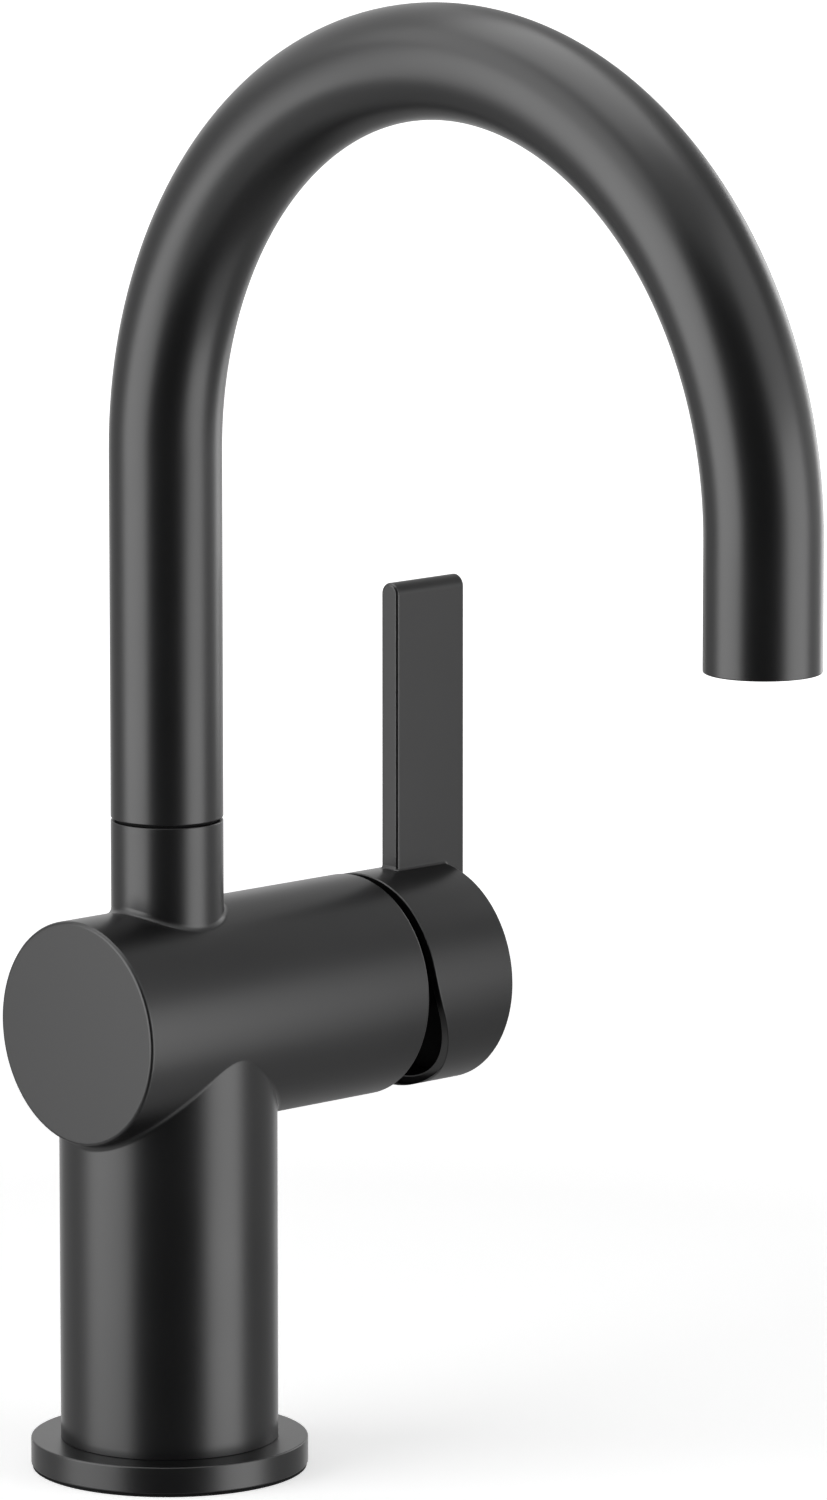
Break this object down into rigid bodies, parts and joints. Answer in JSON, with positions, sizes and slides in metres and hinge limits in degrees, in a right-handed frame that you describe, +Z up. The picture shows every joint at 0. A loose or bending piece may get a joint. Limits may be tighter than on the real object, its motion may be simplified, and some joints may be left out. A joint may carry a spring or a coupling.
{
  "type": "bar faucet",
  "caption": "Deck-mounted bar faucet with a high-arc swivel spout and a flat side lever that tilts and turns.",
  "frame": {"origin": "on the deck, under the gasket, where the column's axis meets it", "axes": "+Z up along the column; +X along the valve barrel towards the lever; -Y towards the sink, over which the spout reaches at rest"},
  "size_m": [0.1214, 0.232, 0.3397],
  "materials": {
    "black_paint": "matte",
    "gasket_rubber": "matte",
    "seal_rubber": "satin",
    "bare_brass": "machined",
    "dark_brass": "black plated",
    "steel": "brushed",
    "white_plastic": "moulded",
    "grey_plastic": "moulded",
    "ceramic": "lapped"
  },
  "bodies": {
    "body": {"body_casting": "black_paint", "base_ring": "black_paint", "base_gasket": "gasket_rubber", "hot_inlet_tube": "bare_brass", "cold_inlet_tube": "bare_brass", "port_seals": "seal_rubber", "cartridge_base": "white_plastic", "disc_seals": "seal_rubber", "fixed_disc": "ceramic", "cartridge_housing": "white_plastic", "retaining_nut": "dark_brass", "spout_clip": "steel", "glide_washer": "gasket_rubber"},
    "rotor": {"rotor": "grey_plastic", "stem_pin": "steel", "limit_stop": "steel"},
    "handle": {"handle": "black_paint", "stem": "bare_brass", "handle_screw": "steel", "screw_plug": "black_paint"},
    "disc": {"moving_disc": "ceramic", "disc_carrier": "grey_plastic"},
    "spout": {"spout_tube": "black_paint", "spout_shank": "bare_brass", "shank_seals": "seal_rubber", "glide_ring": "white_plastic", "outlet_insert": "bare_brass", "aerator_housing": "grey_plastic", "aerator_washer": "seal_rubber", "flow_disc": "white_plastic", "aerator_mixer": "white_plastic"}
  },
  "joints": [
    {"name": "spout_swivel", "type": "hinge", "parent": "body", "child": "spout", "pos_m": [0, 0, 0.1495], "axis": [0, 0, 1], "continuous": true},
    {"name": "handle_turn", "type": "hinge", "parent": "body", "child": "rotor", "pos_m": [0.05, 0, 0.1036], "axis": [1, 0, 0], "range_deg": [-45, 45]},
    {"name": "handle_tilt", "type": "hinge", "parent": "rotor", "child": "handle", "pos_m": [0.05, 0, 0.1036], "axis": [0, 1, 0], "range_deg": [0, 24]},
    {"name": "disc_slide", "type": "slide", "parent": "rotor", "child": "disc", "axis": [0, 0, 1], "range_m": [0, 0.0049]}
  ],
  "couplings": [
    {"joint": "disc_slide", "follows": "handle_tilt", "m_per_rad": 0.011652}
  ]
}
